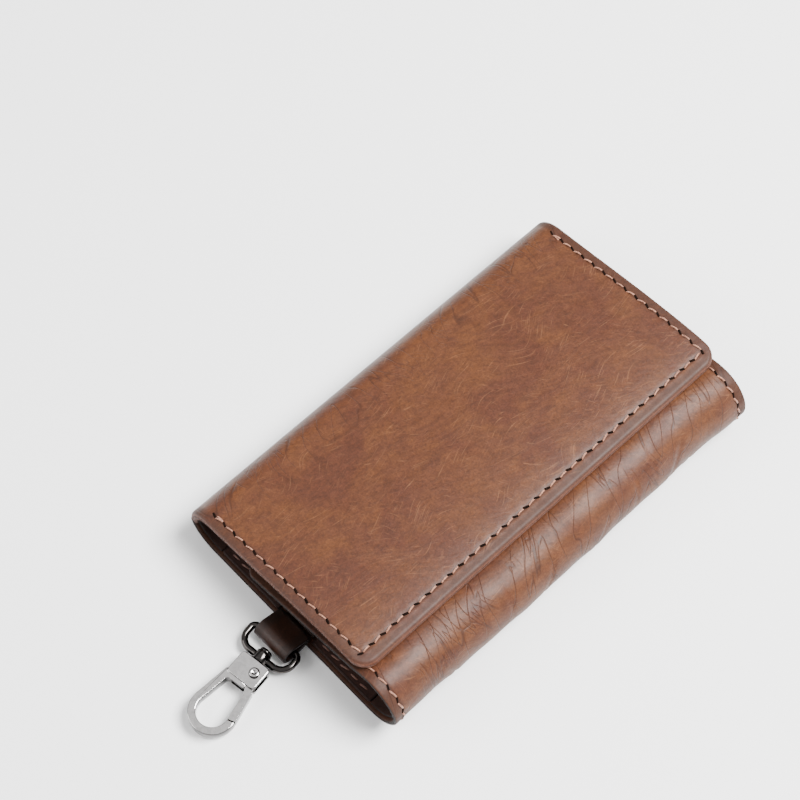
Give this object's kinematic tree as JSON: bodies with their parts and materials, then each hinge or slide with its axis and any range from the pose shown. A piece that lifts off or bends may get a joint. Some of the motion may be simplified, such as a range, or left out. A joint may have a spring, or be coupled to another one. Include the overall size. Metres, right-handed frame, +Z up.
{
  "type": "key organiser",
  "caption": "Folding leather key case with a snap-down cover, an inner wing, a row of swinging key clips and a swivel clasp on a short strap.",
  "frame": {"origin": "middle of the back panel's outer face, the case closed and lying on its back", "axes": "+Y along the case towards the clasp, +Z up out of the back, +X towards the cover's spine"},
  "size_m": [0.07, 0.1475, 0.0225],
  "materials": {
    "outer_leather": "waxed pull-up leather, semi-matt",
    "lining_leather": "waxed lining leather, semi-matt",
    "strap_leather": "dark waxed leather",
    "plate_nickel": "bright nickel plate",
    "gunmetal": "polished gunmetal plate",
    "clip_steel": "plated spring steel",
    "snap_metal": "dark nickel plate over brass",
    "hidden_steel": "plain steel"
  },
  "bodies": {
    "case_back": {"back_leather": "outer_leather", "back_lining": "lining_leather", "hook_plate": "plate_nickel", "key_bar": "plate_nickel", "plate_rivets": "plate_nickel", "rivet_washers": "hidden_steel", "strap_anchor": "strap_leather"},
    "cover_spine": {"cover_spine_leather": "outer_leather", "cover_spine_lining": "lining_leather"},
    "cover": {"cover_leather": "outer_leather", "cover_lining": "lining_leather", "cover_pocket": "lining_leather", "snap_sockets": "snap_metal", "snap_springs": "hidden_steel", "snap_caps": "hidden_steel"},
    "wing_spine": {"wing_spine_leather": "outer_leather", "wing_spine_lining": "lining_leather"},
    "wing": {"wing_leather": "outer_leather", "wing_lining": "lining_leather", "snap_studs": "snap_metal", "snap_posts": "hidden_steel"},
    "strap": {"strap_loop": "strap_leather"},
    "ring": {"swivel_ring": "gunmetal"},
    "clasp": {"swivel_post": "gunmetal", "clasp_hook": "gunmetal", "gate_pin": "gunmetal", "gate_spring": "hidden_steel"},
    "gate": {"gate_lever": "gunmetal"},
    "hook_1": {"hanger_1": "clip_steel"},
    "clip_1": {"key_clip_1": "clip_steel"},
    "hook_2": {"hanger_2": "clip_steel"},
    "clip_2": {"key_clip_2": "clip_steel"},
    "hook_3": {"hanger_3": "clip_steel"},
    "clip_3": {"key_clip_3": "clip_steel"},
    "hook_4": {"hanger_4": "clip_steel"},
    "clip_4": {"key_clip_4": "clip_steel"},
    "hook_5": {"hanger_5": "clip_steel"},
    "clip_5": {"key_clip_5": "clip_steel"},
    "hook_6": {"hanger_6": "clip_steel"},
    "clip_6": {"key_clip_6": "clip_steel"}
  },
  "joints": [
    {"name": "cover_spine_fold", "type": "hinge", "parent": "case_back", "child": "cover_spine", "pos_m": [0.03221, 0, 0.00246], "axis": [0, 1, 0], "range_deg": [0, 86.45]},
    {"name": "cover_fold", "type": "hinge", "parent": "cover_spine", "child": "cover", "pos_m": [0.03285, 0, 0.01285], "axis": [0, 1, 0], "range_deg": [0, 86.46]},
    {"name": "wing_spine_fold", "type": "hinge", "parent": "case_back", "child": "wing_spine", "pos_m": [-0.03261, 0, 0.00312], "axis": [0, -1, 0], "range_deg": [0, 96.51]},
    {"name": "wing_fold", "type": "hinge", "parent": "wing_spine", "child": "wing", "pos_m": [-0.03106, 0, 0.01676], "axis": [0, -1, 0], "range_deg": [0, 45.01]},
    {"name": "hook_1_swing", "type": "hinge", "parent": "case_back", "child": "hook_1", "pos_m": [-0.0185, 0.052, 0.0041], "axis": [-1, 0, 0], "range_deg": [0, 14.5]},
    {"name": "clip_1_sway", "type": "hinge", "parent": "hook_1", "child": "clip_1", "pos_m": [-0.0185, 0.0434, 0.0041], "axis": [0, 0, 1], "range_deg": [-8, 8]},
    {"name": "hook_2_swing", "type": "hinge", "parent": "case_back", "child": "hook_2", "pos_m": [-0.0111, 0.052, 0.0041], "axis": [-1, 0, 0], "range_deg": [0, 11]},
    {"name": "clip_2_sway", "type": "hinge", "parent": "hook_2", "child": "clip_2", "pos_m": [-0.0111, 0.0434, 0.0041], "axis": [0, 0, 1], "range_deg": [-8, 8]},
    {"name": "hook_3_swing", "type": "hinge", "parent": "case_back", "child": "hook_3", "pos_m": [-0.0037, 0.052, 0.0041], "axis": [-1, 0, 0], "range_deg": [0, 8]},
    {"name": "clip_3_sway", "type": "hinge", "parent": "hook_3", "child": "clip_3", "pos_m": [-0.0037, 0.0434, 0.0041], "axis": [0, 0, 1], "range_deg": [-8, 8]},
    {"name": "hook_4_swing", "type": "hinge", "parent": "case_back", "child": "hook_4", "pos_m": [0.0037, 0.052, 0.0041], "axis": [-1, 0, 0], "range_deg": [0, 5]},
    {"name": "clip_4_sway", "type": "hinge", "parent": "hook_4", "child": "clip_4", "pos_m": [0.0037, 0.0434, 0.0041], "axis": [0, 0, 1], "range_deg": [-8, 8]},
    {"name": "hook_5_swing", "type": "hinge", "parent": "case_back", "child": "hook_5", "pos_m": [0.0111, 0.052, 0.0041], "axis": [-1, 0, 0], "range_deg": [0, 1.5]},
    {"name": "clip_5_sway", "type": "hinge", "parent": "hook_5", "child": "clip_5", "pos_m": [0.0111, 0.0434, 0.0041], "axis": [0, 0, 1], "range_deg": [-8, 8]},
    {"name": "hook_6_swing", "type": "hinge", "parent": "case_back", "child": "hook_6", "pos_m": [0.0185, 0.052, 0.0041], "axis": [-1, 0, 0], "range_deg": [0, 1.5]},
    {"name": "clip_6_sway", "type": "hinge", "parent": "hook_6", "child": "clip_6", "pos_m": [0.0185, 0.0434, 0.0041], "axis": [0, 0, 1], "range_deg": [-8, 8]},
    {"name": "strap_bend", "type": "hinge", "parent": "case_back", "child": "strap", "pos_m": [0, 0.0566, 0.00263], "axis": [1, 0, 0], "range_deg": [0, 60]},
    {"name": "ring_swing", "type": "hinge", "parent": "strap", "child": "ring", "pos_m": [0, 0.062, 0.00263], "axis": [0.9903, 0.1392, 0], "range_deg": [0, 90]},
    {"name": "clasp_swivel", "type": "hinge", "parent": "ring", "child": "clasp", "pos_m": [-0.00078, 0.06755, 0.00263], "axis": [-0.1392, 0.9903, 0], "continuous": true},
    {"name": "gate_open", "type": "hinge", "parent": "clasp", "child": "gate", "pos_m": [-0.00295, 0.07148, 0.00263], "axis": [0, 0, -1], "range_deg": [0, 18], "stiffness_Nm_per_rad": 0.004, "springref_deg": -17.19}
  ],
  "couplings": [
    {"joint": "cover_fold", "follows": "cover_spine_fold", "ratio": 1},
    {"joint": "wing_spine_fold", "follows": "cover_spine_fold", "ratio": 1.1163},
    {"joint": "wing_fold", "follows": "cover_spine_fold", "ratio": 0.52053}
  ]
}
